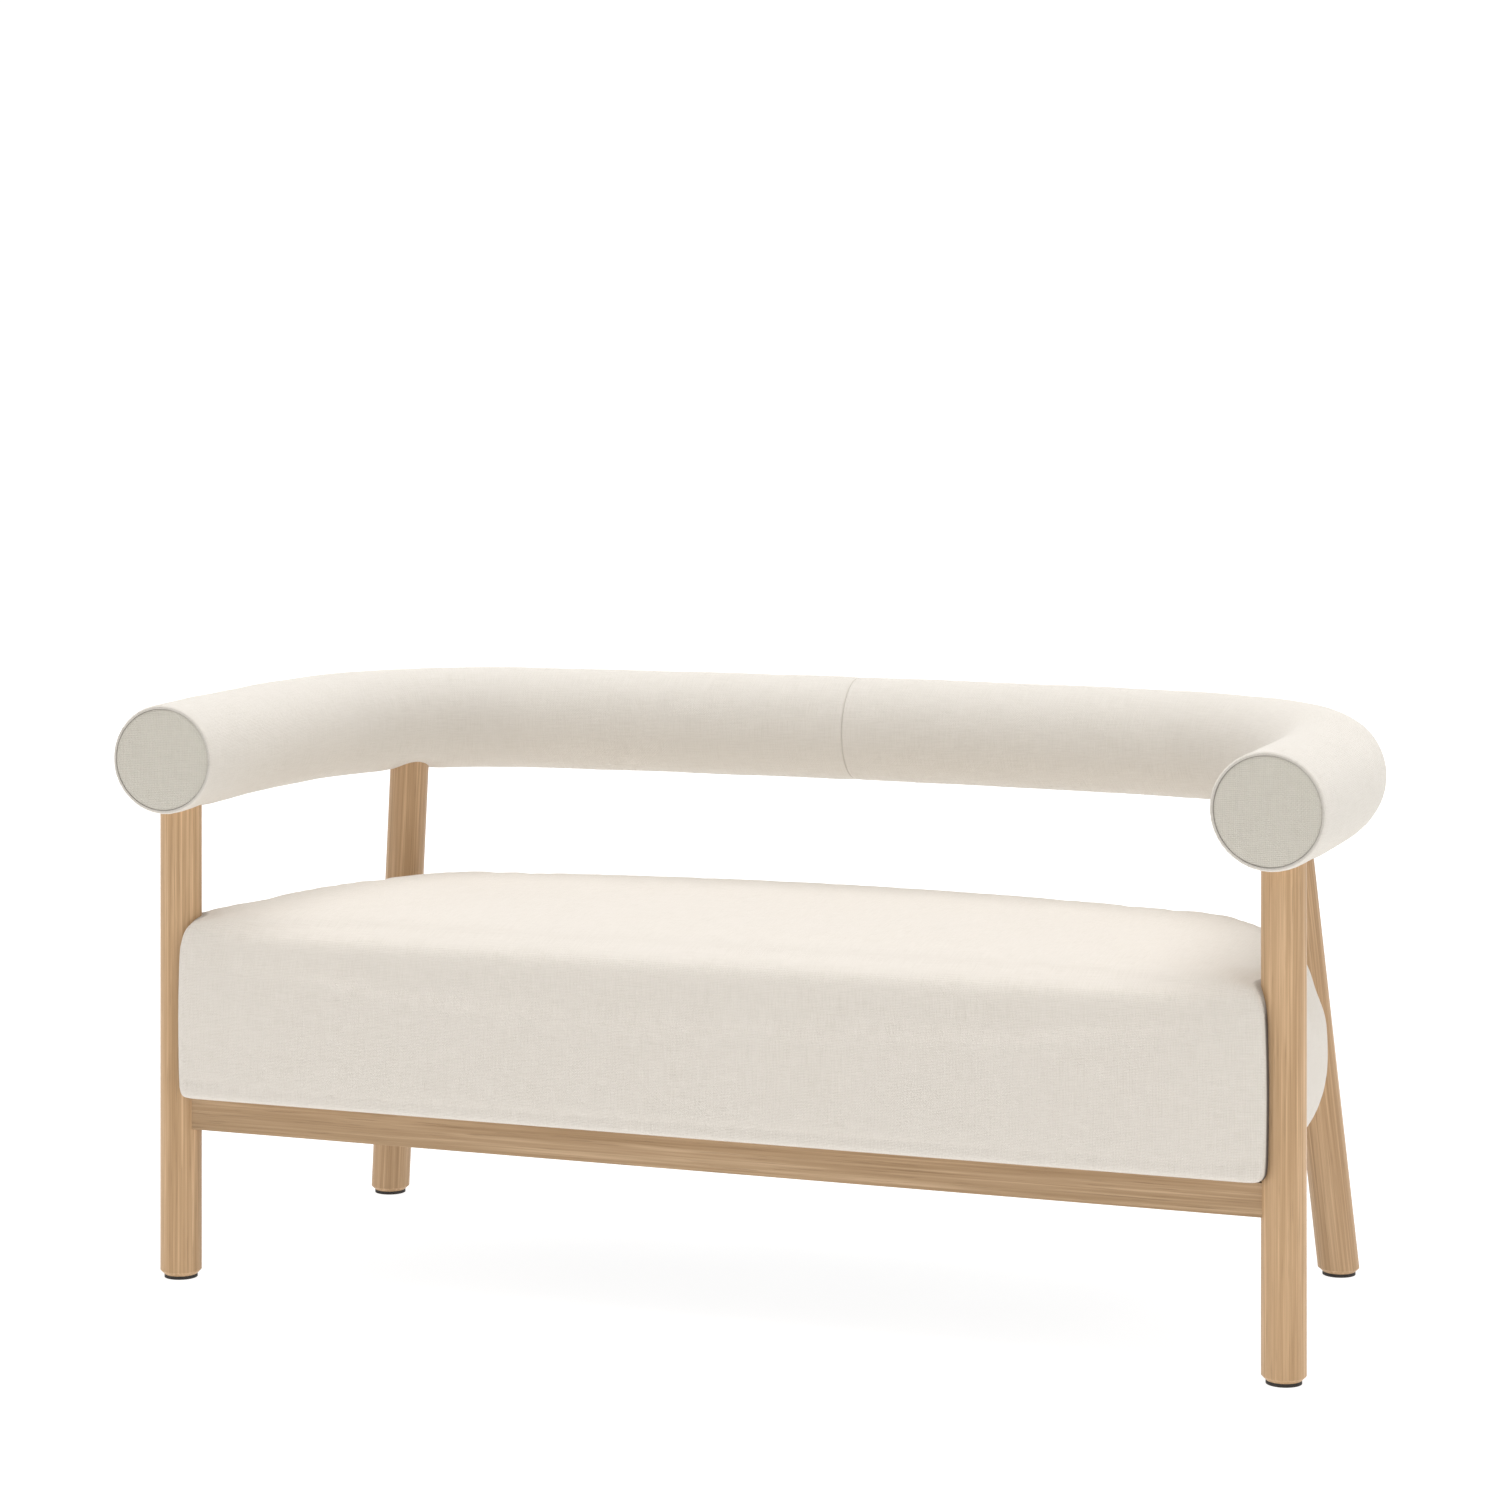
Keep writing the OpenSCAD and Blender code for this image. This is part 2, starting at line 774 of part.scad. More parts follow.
module ring(d, bore, z, h) {
  translate([0, 0, z])
    difference() {
      cylinder(h = h, d = d);
      translate([0, 0, -1]) cylinder(h = h + 2, d = bore);
    }
}

module core_bolt_washers() {
  sunk = core_h - head_sink;
  color(STEEL)
    both_sides() {
      on_front_leg() ring(washer_d, bolt_d, core_z - glide_t + sunk, washer_t);
      on_rear_leg() ring(washer_d, bolt_d, rear_leg_l + sunk, washer_t);
    }
}

module leg_top_inserts() {
  color(BRASS)
    both_sides() {
      on_front_leg() ring(insert_d, bolt_d, core_z - glide_t - insert_l, insert_l - insert_back);
      on_rear_leg() ring(insert_d, bolt_d, rear_leg_l - insert_l - core_tilt, insert_l - insert_back);
    }
}

// ---- bolster foam and cover ----
module foam_profile() {
  translate([0, bolster_axis_z])
    difference() {
      circle(r = foam_r);
      square([core_w + 2 * gap, core_h + 2 * gap], center = true);
    }
}

module legs_in_bolster(r) {
  on_front_leg() cylinder(h = core_z - glide_t + gap, r = r);
  on_rear_leg() cylinder(h = rear_leg_l + gap, r = r);
}

module foam_back() {
  color(FOAM) swept(back_c, back_r, -back_arc, back_arc) foam_profile();
}

module foam_corner() {
  color(FOAM)
    difference() {
      swept(corner_c, corner_r, back_arc, corner_end) foam_profile();
      legs_in_bolster(leg_r + gap);
    }
}

module foam_arm() {
  color(FOAM)
    difference() {
      swept_arm(end_board_t + gap) foam_profile();
      legs_in_bolster(leg_r + gap);
    }
}

module cover_profile() {
  translate([0, bolster_axis_z])
    difference() {
      circle(r = bolster_r);
      circle(r = bolster_r - cover_t);
    }
}

module bolster_cover() {
  color(FABRIC)
    difference() {
      union() {
        swept(back_c, back_r, 0, back_arc) cover_profile();
        swept(corner_c, corner_r, back_arc, corner_end) cover_profile();
        swept_arm(0) cover_profile();
      }
      legs_in_bolster(leg_r);
    }
}

// ---- arm ends ----
module end_board() {
  color(PLYWOOD)
    difference() {
      at_arm_end() translate([0, 0, -end_board_t]) cylinder(h = end_board_t, r = end_board_r);
      end_board_screws();
    }
}

module end_board_screws() {
  color(STEEL)
    both_sides()
      for (s = [-1, 1])
        at_arm_end() translate([0, s * screw_side, 0]) rotate([180, 0, 0]) wood_screw(end_screw_l);
}

// half the section of a shallow dome, its rim lifted off the end face
module dome_section(lift) {
  intersection() {
    translate([0, lift + pad_h - dome_r]) circle(r = dome_r, $fn = 720);
    square([end_r, end_dome + 1]);
  }
}

module end_pad() {
  top_share = 0.4;
  top = pad_rim + pad_h * (1 - top_share * top_share);
  color(WADDING)
    at_arm_end() {
      cylinder(h = pad_rim, r = end_r);
      translate([0, 0, pad_rim]) cylinder(h = top - pad_rim, r1 = end_r, r2 = top_share * end_r);
    }
}

module end_panel() {
  color(FABRIC)
    at_arm_end()
      rotate_extrude()
        difference() {
          dome_section(pad_rim + cover_t);
          dome_section(pad_rim);
        }
}

mirror([1, 0, 0]) front_leg();  // front_leg_left
front_leg();  // front_leg_right
mirror([1, 0, 0]) rear_leg();  // rear_leg_left
rear_leg();  // rear_leg_right
front_rail();
mirror([1, 0, 0]) at_front_foot() glide();  // front_glide_left
at_front_foot() glide();  // front_glide_right
mirror([1, 0, 0]) at_rear_foot() glide();  // rear_glide_left
at_rear_foot() glide();  // rear_glide_right
glide_screws();
seat_front_board();
mirror([1, 0, 0]) seat_side_board();  // seat_side_board_left
seat_side_board();  // seat_side_board_right
mirror([1, 0, 0]) seat_rear_corner();  // seat_rear_corner_left
seat_rear_corner();  // seat_rear_corner_right
seat_back_board();
seat_centre_bearer();
mirror([1, 0, 0]) front_corner_block();  // front_corner_block_left
front_corner_block();  // front_corner_block_right
mirror([1, 0, 0]) rear_corner_block();  // rear_corner_block_left
rear_corner_block();  // rear_corner_block_right
corner_block_screws();
bearer_screws();
rail_screws();
cross_webbing();
long_webbing();
seat_foam();
seat_wadding();
seat_cover();
dust_cover();
leg_bolts();
leg_bolt_washers();
leg_inserts();
mirror([1, 0, 0]) rear_spacer();  // rear_spacer_left
rear_spacer();  // rear_spacer_right
core_back();
mirror([1, 0, 0]) core_corner();  // core_corner_left
core_corner();  // core_corner_right
mirror([1, 0, 0]) core_arm();  // core_arm_left
core_arm();  // core_arm_right
core_dowels();
core_bolts();
core_bolt_washers();
leg_top_inserts();
foam_back();
mirror([1, 0, 0]) foam_corner();  // foam_corner_left
foam_corner();  // foam_corner_right
mirror([1, 0, 0]) foam_arm();  // foam_arm_left
foam_arm();  // foam_arm_right
mirror([1, 0, 0]) bolster_cover();  // bolster_cover_left
bolster_cover();  // bolster_cover_right
mirror([1, 0, 0]) end_board();  // end_board_left
end_board();  // end_board_right
end_board_screws();
mirror([1, 0, 0]) end_pad();  // end_pad_left
end_pad();  // end_pad_right
mirror([1, 0, 0]) end_panel();  // end_panel_left
end_panel();  // end_panel_right
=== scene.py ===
"""Two-seat sofa: a round upholstered bolster bent into a U on four oak legs, over a thick
D-shaped upholstered seat. Metres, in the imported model's frame."""
import json
from math import cos, pi, radians, sin

import bpy
import numpy as np
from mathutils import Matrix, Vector
from mathutils.geometry import delaunay_2d_cdt


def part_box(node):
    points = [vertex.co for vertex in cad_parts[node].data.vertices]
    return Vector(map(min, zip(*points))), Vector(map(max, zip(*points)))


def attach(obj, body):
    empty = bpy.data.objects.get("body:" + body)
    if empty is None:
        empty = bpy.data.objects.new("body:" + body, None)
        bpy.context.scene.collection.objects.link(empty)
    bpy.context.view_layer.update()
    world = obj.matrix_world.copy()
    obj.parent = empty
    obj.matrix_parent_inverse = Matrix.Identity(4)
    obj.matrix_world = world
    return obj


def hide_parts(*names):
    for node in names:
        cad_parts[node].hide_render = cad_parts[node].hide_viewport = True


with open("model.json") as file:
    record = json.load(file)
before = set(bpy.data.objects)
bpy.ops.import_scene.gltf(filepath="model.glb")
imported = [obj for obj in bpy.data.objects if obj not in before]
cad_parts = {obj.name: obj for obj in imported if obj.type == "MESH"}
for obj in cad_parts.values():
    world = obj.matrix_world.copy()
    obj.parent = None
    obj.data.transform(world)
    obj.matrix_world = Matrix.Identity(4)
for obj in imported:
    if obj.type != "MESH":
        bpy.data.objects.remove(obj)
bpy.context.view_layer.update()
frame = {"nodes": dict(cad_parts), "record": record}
nodes = frame["nodes"]
slot_of = {part["node"]: part["material_slot"] for part in frame["record"]["subparts"]}


# ---------------------------------------------------------------- node materials
MAP_RANGE_LIMITS = ("From Min", "From Max", "To Min", "To Max")


class Nodes:
    """A new node material, with short calls for its nodes."""

    def __init__(self, name):
        self.material = bpy.data.materials.new(name)
        self.material.use_nodes = True
        self.tree = self.material.node_tree
        self.shader = self.tree.nodes["Principled BSDF"]

    def link(self, source, target):
        self.tree.links.new(source, target)

    def feed(self, socket, value):
        if isinstance(value, bpy.types.NodeSocket):
            self.link(value, socket)
        else:
            socket.default_value = value

    def add(self, kind, **settings):
        node = self.tree.nodes.new("ShaderNode" + kind)
        for name, value in settings.items():
            setattr(node, name, value)
        return node

    def math(self, operation, a, b=0.0, clamp=False):
        node = self.add("Math", operation=operation, use_clamp=clamp)
        self.feed(node.inputs[0], a)
        self.feed(node.inputs[1], b)
        return node.outputs[0]

    def coordinates(self, source="Object", stretch=(1, 1, 1), axis=(0, 0, 1)):
        """Coordinates stretched along each axis, after axis is turned onto Z."""
        mapping = self.add("Mapping", vector_type="TEXTURE")
        self.link(self.add("TexCoord").outputs[source], mapping.inputs["Vector"])
        mapping.inputs["Scale"].default_value = stretch
        turned = Vector((0, 0, 1)).rotation_difference(Vector(axis))
        mapping.inputs["Rotation"].default_value = turned.to_euler()
        return mapping.outputs["Vector"]

    def noise(self, vector, scale, detail=2.0, roughness=0.5, distortion=0.0):
        node = self.add("TexNoise")
        self.link(vector, node.inputs["Vector"])
        node.inputs["Scale"].default_value = scale
        node.inputs["Detail"].default_value = detail
        node.inputs["Roughness"].default_value = roughness
        node.inputs["Distortion"].default_value = distortion
        return node.outputs["Fac"]

    def ramp(self, factor, *stops):
        node = self.add("ValToRGB")
        self.link(factor, node.inputs["Fac"])
        elements = node.color_ramp.elements
        while len(elements) < len(stops):
            elements.new(0.5)
        for element, (place, colour) in zip(elements, stops):
            element.position = place
            element.color = (*colour, 1)
        return node.outputs["Color"]

    def level(self, factor, low, high, to_low=0.0, to_high=1.0):
        node = self.add("MapRange", clamp=True)
        self.link(factor, node.inputs["Value"])
        for name, value in zip(MAP_RANGE_LIMITS, (low, high, to_low, to_high)):
            node.inputs[name].default_value = value
        return node.outputs["Result"]

    def mix(self, factor, a, b, blend="MIX"):
        node = self.add("Mix", data_type="RGBA", blend_type=blend)
        self.feed(node.inputs["Factor"], factor)
        for socket, value in ((node.inputs["A"], a), (node.inputs["B"], b)):
            self.feed(socket, value if isinstance(value, bpy.types.NodeSocket) else (*value, 1))
        return node.outputs["Result"]

    def bump(self, height, distance, strength=1.0, normal=None):
        node = self.add("Bump")
        node.inputs["Strength"].default_value = strength
        node.inputs["Distance"].default_value = distance
        self.link(height, node.inputs["Height"])
        if normal is not None:
            self.link(normal, node.inputs["Normal"])
        return node.outputs["Normal"]

    def finish(self, colour, roughness, normal=None, **sockets):
        self.feed(self.shader.inputs["Base Color"], colour)
        self.feed(self.shader.inputs["Roughness"], roughness)
        if normal is not None:
            self.link(normal, self.shader.inputs["Normal"])
        for name, value in sockets.items():
            self.shader.inputs[name.replace("_", " ")].default_value = value
        return self.material


def wood(name, light, middle, dark, axis=(0, 0, 1), gloss=0.46):
    """Wood whose fibres run along an axis."""
    n = Nodes(name)
    bands = n.noise(n.coordinates(stretch=(1, 1, 26), axis=axis), 60, 3, 0.5, 0.3)
    fibres = n.noise(n.coordinates(stretch=(1, 1, 90), axis=axis), 330, 3, 0.6)
    flecks = n.noise(n.coordinates(stretch=(1, 1, 34), axis=axis), 640, 2, 0.5)
    patches = n.noise(n.coordinates(stretch=(1, 1, 3), axis=axis), 8, 2, 0.5)
    tone = n.math("ADD", n.math("MULTIPLY", bands, 0.35), n.math("MULTIPLY", fibres, 0.65))
    colour = n.ramp(tone, (0.32, dark), (0.49, middle), (0.66, light))
    colour = n.mix(n.level(patches, 0.38, 0.66, 0.0, 0.30), colour, tuple(0.88 * c for c in middle))
    pores = n.level(flecks, 0.60, 0.72)
    colour = n.mix(n.math("MULTIPLY", pores, 0.34), colour, tuple(0.70 * c for c in dark))
    streaks = n.level(fibres, 0.56, 0.68, 0.0, 0.32)
    colour = n.mix(streaks, colour, tuple(min(1, 1.22 * c) for c in light))
    height = n.math("SUBTRACT", n.math("MULTIPLY", fibres, 0.5), pores)
    rough = n.level(fibres, 0.3, 0.7, gloss + 0.10, gloss - 0.04)
    return n.finish(colour, rough, n.bump(height, 0.0003, 0.6), Specular_IOR_Level=0.35)


def weave(name, light, dark, pitch, depth, groove_shade_colour=(0.11, 0.085, 0.065)):
    """Plain-woven upholstery, threads crossing in the metre-scaled UV map, with painted shade darkening its
    seam grooves, tucks and leg notches.
    """
    n = Nodes(name)
    uv = n.coordinates("UV")
    wobble = n.noise(uv, 30, 2)
    split = n.add("SeparateXYZ")
    n.link(uv, split.inputs[0])
    drift = n.math("MULTIPLY", wobble, 0.0016)
    across = n.math("MULTIPLY", n.math("ADD", split.outputs["X"], drift), 1 / pitch)
    along = n.math("MULTIPLY", n.math("ADD", split.outputs["Y"], drift), 1 / pitch)
    warp = n.math("ABSOLUTE", n.math("SINE", n.math("MULTIPLY", across, pi)))
    weft = n.math("ABSOLUTE", n.math("SINE", n.math("MULTIPLY", along, pi)))
    cell = n.math("ADD", n.math("FLOOR", across), n.math("FLOOR", along))
    over = n.math("MULTIPLY", n.math("FRACT", n.math("MULTIPLY", cell, 0.5)), 2)
    under = n.math("SUBTRACT", 1.0, over)
    threads = n.math("ADD", n.math("MULTIPLY", warp, over), n.math("MULTIPLY", weft, under))
    slub_warp = n.noise(n.coordinates("UV", stretch=(1, 22, 1)), 700, 2, 0.6)
    slub_weft = n.noise(n.coordinates("UV", stretch=(22, 1, 1)), 700, 2, 0.6)
    slub = n.math("MULTIPLY", n.math("ADD", slub_warp, slub_weft), 0.5)
    cloud = n.noise(n.coordinates("Object"), 9, 3, 0.55)
    fuzz = n.noise(uv, 2600, 2, 0.7)
    shade = n.math("ADD", n.math("MULTIPLY", threads, 0.30), n.math("MULTIPLY", slub, 0.70))
    colour = n.ramp(shade, (0.26, dark), (0.66, light))
    colour = n.mix(n.level(cloud, 0.35, 0.70, 0.0, 0.40), colour, tuple(0.955 * c for c in light))
    # painted shade: a mesh attribute pulls the colour towards a dark shade colour in seams, tucks and notches
    groove_shade = n.add("Attribute", attribute_name="groove_shade").outputs["Fac"]
    colour = n.mix(groove_shade, colour, groove_shade_colour)
    height = n.math("ADD", threads, n.math("MULTIPLY", slub, 1.1))
    height = n.math("ADD", height, n.math("MULTIPLY", fuzz, 0.35))
    rough = n.level(slub, 0.3, 0.7, 0.97, 0.86)
    normal = n.bump(height, depth, 0.8)
    return n.finish(colour, rough, normal, Sheen_Weight=0.10, Sheen_Roughness=0.55, Specular_IOR_Level=0.22)


def rough_solid(name, low, high, grain, depth, gloss, metallic=0.0):
    """A plain material with mottled colour and a fine uneven surface."""
    n = Nodes(name)
    spots = n.noise(n.coordinates(), grain, 4, 0.6)
    large = n.noise(n.coordinates(), grain * 0.12, 2)
    mottle = n.math("ADD", n.math("MULTIPLY", spots, 0.6), n.math("MULTIPLY", large, 0.4))
    colour = n.ramp(mottle, (0.36, low), (0.64, high))
    rough = n.level(spots, 0.3, 0.7, gloss + 0.08, gloss - 0.08)
    return n.finish(colour, rough, n.bump(spots, depth, 0.7), Metallic=metallic)


def glowing(name, low, high, strength):
    """A matt material that also gives off white light."""
    material = rough_solid(name, low, high, 6, 0.0001, 0.9)
    shader = material.node_tree.nodes["Principled BSDF"]
    shader.inputs["Emission Color"].default_value = (1, 1, 1, 1)
    shader.inputs["Emission Strength"].default_value = strength
    return material


def brushed(name, low, high, gloss):
    """Turned metal with fine scratches and a little tarnish."""
    n = Nodes(name)
    scratches = n.noise(n.coordinates(stretch=(8, 8, 1)), 900, 3, 0.6)
    tarnish = n.noise(n.coordinates(), 120, 3)
    colour = n.ramp(tarnish, (0.35, low), (0.65, high))
    rough = n.level(scratches, 0.3, 0.7, gloss - 0.06, gloss + 0.12)
    return n.finish(colour, rough, n.bump(scratches, 0.00005, 0.5), Metallic=1.0)


# light, middle and dark tones of each oak piece, and the way the rear legs lean
UPRIGHT = (0.708, 0.480, 0.282), (0.556, 0.358, 0.194), (0.418, 0.255, 0.124)
RAIL = (0.575, 0.400, 0.245), (0.455, 0.300, 0.168), (0.345, 0.215, 0.108)
REAR = (0.628, 0.424, 0.250), (0.494, 0.315, 0.171), (0.370, 0.224, 0.109)
LEAN_X, LEAN_Y, LEAN_Z = 0.0555, -0.0550, 0.604
oak_upright = wood("oak_upright", *UPRIGHT)
oak_across = wood("oak_across", *RAIL, axis=(1, 0, 0))
oak_lean_right = wood("oak_lean_right", *REAR, axis=(-LEAN_X, LEAN_Y, LEAN_Z))
oak_lean_left = wood("oak_lean_left", *REAR, axis=(LEAN_X, LEAN_Y, LEAN_Z))
by_slot = {
    "oak": oak_upright,
    "beech": wood("beech", (0.66, 0.47, 0.29), (0.58, 0.39, 0.22), (0.48, 0.31, 0.17), axis=(1, 0, 0)),
    "plywood": wood("plywood", (0.62, 0.46, 0.28), (0.50, 0.35, 0.20), (0.38, 0.25, 0.14), axis=(1, 0, 0)),
    "wadding": rough_solid("wadding", (0.80, 0.80, 0.79), (0.90, 0.90, 0.89), 220, 0.0012, 0.92),
    "foam": rough_solid("foam", (0.72, 0.62, 0.34), (0.82, 0.73, 0.44), 700, 0.0006, 0.9),
    "webbing": rough_solid("webbing", (0.22, 0.18, 0.14), (0.34, 0.29, 0.22), 900, 0.0004, 0.85),
    "pad": rough_solid("pad", (0.020, 0.017, 0.015), (0.055, 0.047, 0.042), 900, 0.0004, 0.8),
    "steel": brushed("steel", (0.50, 0.51, 0.52), (0.66, 0.67, 0.68), 0.34),
    "brass": brushed("brass", (0.50, 0.36, 0.14), (0.72, 0.55, 0.26), 0.30),
}
cream = weave("cream_weave", (0.870, 0.825, 0.757), (0.700, 0.655, 0.577), 0.0017, 0.00045)
cream_seat = weave("cream_seat", (0.869, 0.815, 0.744), (0.699, 0.647, 0.566), 0.0017, 0.00045)
cream_cap = weave("cream_cap", (0.715, 0.680, 0.600), (0.570, 0.535, 0.458), 0.0021, 0.00060)
black_cloth = weave("black_cloth", (0.032, 0.031, 0.033), (0.014, 0.014, 0.015), 0.0012, 0.0002,
                    groove_shade_colour=(0.01, 0.01, 0.01))
by_slot["fabric"] = cream
by_slot["black_cloth"] = black_cloth
by_node = {"front_rail": oak_across, "rear_leg_right": oak_lean_right, "rear_leg_left": oak_lean_left}

for name, node in nodes.items():
    material = by_node.get(name, by_slot[slot_of[name]])
    node.data.materials.clear()
    node.data.materials.append(material)


# ---------------------------------------------------------------- mesh helpers
def new_piece(name, points, faces, material):
    mesh = bpy.data.meshes.new(name)
    mesh.from_pydata([tuple(p) for p in points], [], [tuple(f) for f in faces])
    mesh.validate()
    piece = bpy.data.objects.new(name, mesh)
    bpy.context.scene.collection.objects.link(piece)
    mesh.materials.append(material)
    mesh.polygons.foreach_set("use_smooth", [True] * len(mesh.polygons))
    return piece


def wrapped(rows, around):
    """Faces that join closed rows of points, each row to the next."""
    faces = []
    for low in range(0, (rows - 1) * around, around):
        for j in range(around):
            following = (j + 1) % around
            faces.append((low + j, low + following, low + around + following, low + around + j))
    return faces


def coordinates_of(mesh):
    flat = np.zeros(len(mesh.vertices) * 3)
    mesh.vertices.foreach_get("co", flat)
    return flat.reshape(-1, 3)


def set_attribute(piece, name, values):
    attribute = piece.data.attributes.get(name) or piece.data.attributes.new(name, "FLOAT", "POINT")
    attribute.data.foreach_set("value", np.asarray(values, np.float32))


def set_box_uv(piece):
    """Metre-scaled UVs, each face laid flat along its main axis."""
    mesh = piece.data
    points = coordinates_of(mesh)
    corner_vertex = np.zeros(len(mesh.loops), int)
    mesh.loops.foreach_get("vertex_index", corner_vertex)
    normals = np.zeros(len(mesh.polygons) * 3)
    mesh.polygons.foreach_get("normal", normals)
    totals = np.zeros(len(mesh.polygons), int)
    mesh.polygons.foreach_get("loop_total", totals)
    size = np.abs(normals.reshape(-1, 3)) * (1.0, 1.15, 1.0)
    axis = np.repeat(size.argmax(1), totals)
    place = points[corner_vertex]
    upright = np.where((axis == 1)[:, None], place[:, [0, 2]], place[:, 1:])
    uv = np.where((axis == 2)[:, None], place[:, :2], upright)
    layer = mesh.uv_layers.new(name="weave")
    layer.data.foreach_set("uv", uv.astype(np.float32).ravel())


def baked(piece):
    """The piece with its modifiers applied to a new mesh."""
    graph = bpy.context.evaluated_depsgraph_get()
    mesh = bpy.data.meshes.new_from_object(piece.evaluated_get(graph))
    old = piece.data
    piece.modifiers.clear()
    piece.data = mesh
    bpy.data.meshes.remove(old)
    mesh.polygons.foreach_set("use_smooth", [True] * len(mesh.polygons))
    return piece


def inflate(piece, pinned, cap, pressure, slack=0.0, frames=20):
    """Swells a closed mesh as cloth under inner pressure; pinned points hold, none moves farther than cap."""
    rest = coordinates_of(piece.data)
    group = piece.vertex_groups.new(name="pinned")
    for level in range(1, 11):
        group.add(np.flatnonzero(np.rint(pinned * 10) == level).tolist(), level / 10, "REPLACE")
    cloth = piece.modifiers.new("cloth", "CLOTH")
    cloth.settings.quality = 4
    cloth.settings.mass = 0.15
    cloth.settings.use_pressure = True
    cloth.settings.uniform_pressure_force = pressure
    cloth.settings.shrink_min = -slack
    cloth.settings.vertex_group_mass = group.name
    cloth.settings.effector_weights.gravity = 0
    cloth.collision_settings.use_collision = False
    cloth.point_cache.frame_start = 1
    cloth.point_cache.frame_end = frames
    for frame_number in range(1, frames + 1):
        bpy.context.scene.frame_set(frame_number)
    moved_mesh = bpy.data.meshes.new_from_object(piece.evaluated_get(bpy.context.evaluated_depsgraph_get()))
    step = coordinates_of(moved_mesh) - rest
    bpy.data.meshes.remove(moved_mesh)
    piece.modifiers.remove(cloth)
    piece.vertex_groups.clear()
    bpy.context.scene.frame_set(1)
    size = np.linalg.norm(step, axis=1)
    step *= (cap * np.tanh(size / cap) / np.maximum(size, 1e-9))[:, None]
    piece.data.vertices.foreach_set("co", (rest + step).ravel())
    piece.data.update()


def turn(heading):
    """Outward direction in plan; headings are radians clockwise from +Y."""
    return np.stack([np.sin(heading), np.cos(heading)], -1)


def chain(start, arcs, step):
    """Right half of a plan curve from its middle: points and headings along joined arcs (radius, degrees)."""
    centre, heading = np.array([0.0, start - arcs[0][0]]), 0.0
    points, headings = [], []
    radius = arcs[0][0]
    for new_radius, degrees_turned in arcs:
        centre = centre + (radius - new_radius) * turn(heading)
        radius = new_radius
        span = radians(degrees_turned)
        count = max(2, round(span * radius / step))
        h = heading + span * np.arange(count) / count
        points.append(centre + radius * turn(h))
        headings.append(h)
        heading += span
    points.append([centre + radius * turn(heading)])
    headings.append([heading])
    return np.concatenate(points), np.concatenate(headings)


def smooth_step(x, low, high):
    t = np.clip((x - low) / (high - low), 0, 1)
    return t * t * (3 - 2 * t)


def ripples(points, wave, seed):
    """A soft, repeatable unevenness from -1 to 1 at each point."""
    rng = np.random.default_rng(seed)
    total = np.zeros(len(points))
    for _ in range(7):
        direction = rng.normal(size=3)
        direction /= np.linalg.norm(direction)
        total += np.sin(points @ direction * 2 * pi / (wave * rng.uniform(0.7, 1.6)) + rng.uniform(0, 2 * pi))
    return total / 7 ** 0.5 / 1.4


# where the right legs' axes stand in plan: the front one, and the rear one where it meets the bolster
FRONT_LEG = (0.680, -0.277)
REAR_LEG_TOP = (0.5835, 0.1680)


# ---------------------------------------------------------------- bolster
BOLSTER_R = 0.0655
AXIS_Z = 0.633
BOLSTER_ARCS = ((3.6, 7.1), (0.25, 70.5), (0.86, 12.4))
TAIL_R = 6.0
BACK_Y = 0.274
END_Y = -0.335
SECTION_STEP = 0.008

line, heading = chain(BACK_Y, BOLSTER_ARCS, SECTION_STEP)
tail_centre = line[-1] - TAIL_R * turn(heading[-1])
tail_end = np.arccos((END_Y - tail_centre[1]) / TAIL_R)
tail = heading[-1] + (tail_end - heading[-1]) * np.linspace(0, 1, 22)[1:]
line = np.concatenate([line, tail_centre + TAIL_R * turn(tail)])
heading = np.concatenate([heading, tail])
length = np.concatenate([[0], np.cumsum(np.linalg.norm(np.diff(line, axis=0), axis=1))])
half_length = length[-1]

# finer sections at the middle seam and at the rounded end
END_STRETCH = 0.030
marks = np.concatenate([
    np.linspace(0, 0.004, 9), np.arange(0.012, half_length - END_STRETCH, SECTION_STEP),
    half_length - END_STRETCH + END_STRETCH * np.sin(np.linspace(0, 1, 14) * pi / 2),
])
marks = np.unique(np.round(marks, 6))
half_line = np.stack([np.interp(marks, length, line[:, 0]), np.interp(marks, length, line[:, 1])], 1)
half_heading = np.interp(marks, length, heading)

EDGE_R = 0.0042
AROUND = 96
theta = 2 * pi * np.arange(AROUND) / AROUND
stations = np.concatenate([-marks[:0:-1], marks])
centres = np.concatenate([half_line[:0:-1] * (-1, 1), half_line])
turns = np.concatenate([-half_heading[:0:-1], half_heading])
outward = turn(turns)
from_end = half_length - np.abs(stations)
into_edge = np.clip(EDGE_R - from_end, 0, EDGE_R)
rounding = EDGE_R - np.sqrt(EDGE_R ** 2 - into_edge ** 2)

grid = np.zeros((len(stations), AROUND, 3))
base = np.repeat(centres[:, None], AROUND, 1)
leg_places = [(sign * x, y) for x, y in (FRONT_LEG, REAR_LEG_TOP) for sign in (1, -1)]
radius = np.full((len(stations), AROUND), BOLSTER_R) - rounding[:, None]
probe = np.concatenate([
    base + outward[:, None] * (BOLSTER_R * np.cos(theta))[None, :, None],
    (AXIS_Z + BOLSTER_R * np.sin(theta))[None, :, None] * np.ones((len(stations), 1, 1)),
], 2).reshape(-1, 3)
radius += 0.00045 * ripples(probe, 0.14, 5).reshape(radius.shape)
radius += 0.00018 * ripples(probe, 0.035, 9).reshape(radius.shape)
# the padding has settled a little towards the outer, lower side of the corners and arms
flank = np.exp(-((np.mod(theta + radians(32) + pi, 2 * pi) - pi) / radians(48)) ** 2)
settled = smooth_step(np.abs(stations), 0.46, 0.62) * (0.45 + 0.55 * smooth_step(from_end, 0.010, 0.090))
radius += 0.0036 * settled[:, None] * flank * smooth_step(from_end, 0.0, 0.010)[:, None]
